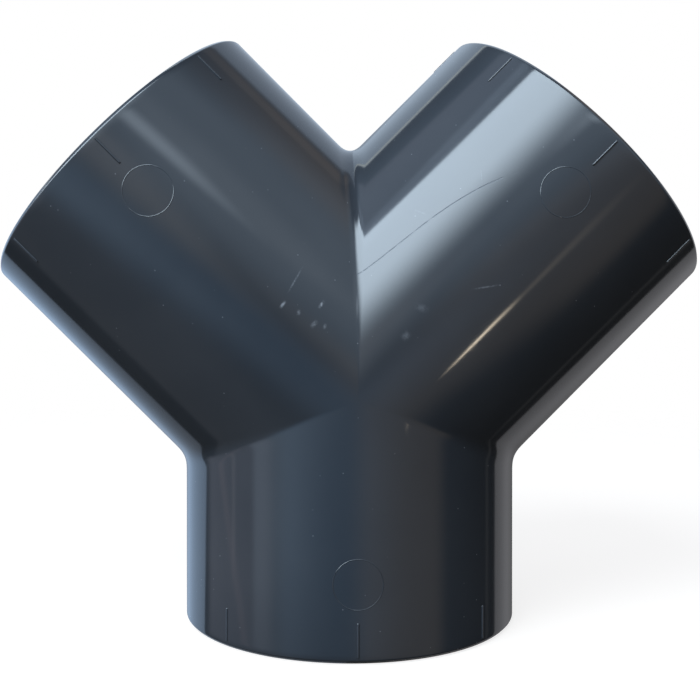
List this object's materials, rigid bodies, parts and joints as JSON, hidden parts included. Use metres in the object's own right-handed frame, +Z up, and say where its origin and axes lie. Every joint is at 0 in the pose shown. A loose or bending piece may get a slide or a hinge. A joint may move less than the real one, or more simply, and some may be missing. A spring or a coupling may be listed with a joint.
{
  "type": "symmetrical wye pipe fitting",
  "caption": "Moulded plastic Y-shaped pipe fitting: a stem socket and equal branch sockets that lean the same angle to each side, with pipe stops, blended creases and raised alignment marks.",
  "frame": {"origin": "centre of the stem's mouth, on the surface that its rim rests on", "axes": "+Z up along the stem; the branches lean towards +X and -X in the XZ plane; -Y is the front"},
  "size_m": [0.2648, 0.1278, 0.2205],
  "materials": {
    "pvc": "glossy moulded dark blue-grey PVC-U"
  },
  "bodies": {
    "root": {"wye_body": "pvc"}
  },
  "joints": []
}
